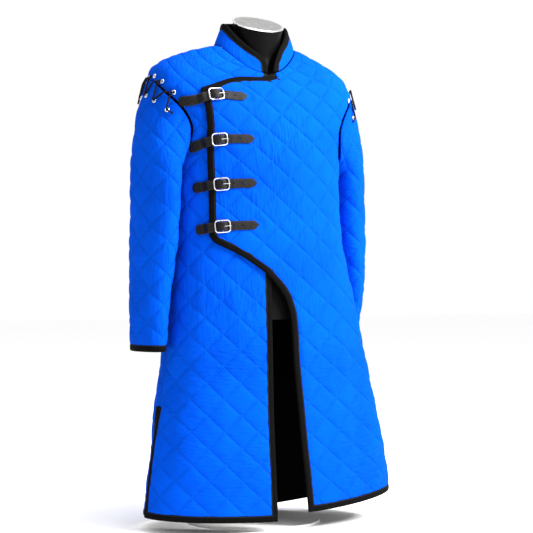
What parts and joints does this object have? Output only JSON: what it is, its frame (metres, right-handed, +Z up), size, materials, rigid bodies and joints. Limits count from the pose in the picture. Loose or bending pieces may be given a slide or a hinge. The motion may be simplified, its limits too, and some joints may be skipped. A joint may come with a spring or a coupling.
{
  "type": "quilted gambeson on a limbless dress form",
  "caption": "Knee-length quilted coat with stand collar, lapped buckled front, side slits and laced sleeves, on a limbless dress form with a short hidden stand.",
  "frame": {"origin": "centre of the underside of the stand's foot", "axes": "+Z up; the wearer faces -Y, so the wearer's right is -X"},
  "size_m": [0.6142, 0.3256, 1.1516],
  "materials": {
    "quilted_cotton": "quilted cotton, matt with a slight sheen",
    "black_lining": "plain black cotton",
    "black_binding": "woven black tape",
    "black_leather": "smooth dyed leather",
    "nickel_steel": "polished nickel plate",
    "black_lace": "braided cord",
    "form_black": "satin black",
    "brushed_steel": "brushed with a bright rim",
    "white_enamel": "satin white enamel"
  },
  "bodies": {
    "root": {"back": "quilted_cotton", "binding_back": "black_binding", "binding_collar": "black_binding", "binding_over": "black_binding", "binding_under": "black_binding", "buckle_1": "nickel_steel", "buckle_2": "nickel_steel", "buckle_3": "nickel_steel", "buckle_4": "nickel_steel", "chape_1": "black_leather", "chape_2": "black_leather", "chape_3": "black_leather", "chape_4": "black_leather", "collar": "quilted_cotton", "cuff_left": "black_binding", "cuff_right": "black_binding", "eyelet_body_left_1": "nickel_steel", "eyelet_body_left_2": "nickel_steel", "eyelet_body_left_3": "nickel_steel", "eyelet_body_left_4": "nickel_steel", "eyelet_body_left_5": "nickel_steel", "eyelet_body_right_1": "nickel_steel", "eyelet_body_right_2": "nickel_steel", "eyelet_body_right_3": "nickel_steel", "eyelet_body_right_4": "nickel_steel", "eyelet_body_right_5": "nickel_steel", "eyelet_sleeve_left_1": "nickel_steel", "eyelet_sleeve_left_2": "nickel_steel", "eyelet_sleeve_left_3": "nickel_steel", "eyelet_sleeve_left_4": "nickel_steel", "eyelet_sleeve_left_5": "nickel_steel", "eyelet_sleeve_right_1": "nickel_steel", "eyelet_sleeve_right_2": "nickel_steel", "eyelet_sleeve_right_3": "nickel_steel", "eyelet_sleeve_right_4": "nickel_steel", "eyelet_sleeve_right_5": "nickel_steel", "form_cap": "brushed_steel", "form_torso": "form_black", "front_left": "quilted_cotton", "front_right": "quilted_cotton", "lace_left": "black_lace", "lace_right": "black_lace", "lining_back": "black_lining", "lining_collar": "black_lining", "sleeve_left": "quilted_cotton", "sleeve_right": "quilted_cotton", "stand_foot": "white_enamel", "stand_pole": "white_enamel", "strap_1": "black_leather", "strap_2": "black_leather", "strap_3": "black_leather", "strap_4": "black_leather", "tongue_1": "nickel_steel", "tongue_2": "nickel_steel", "tongue_3": "nickel_steel", "tongue_4": "nickel_steel"}
  },
  "joints": []
}
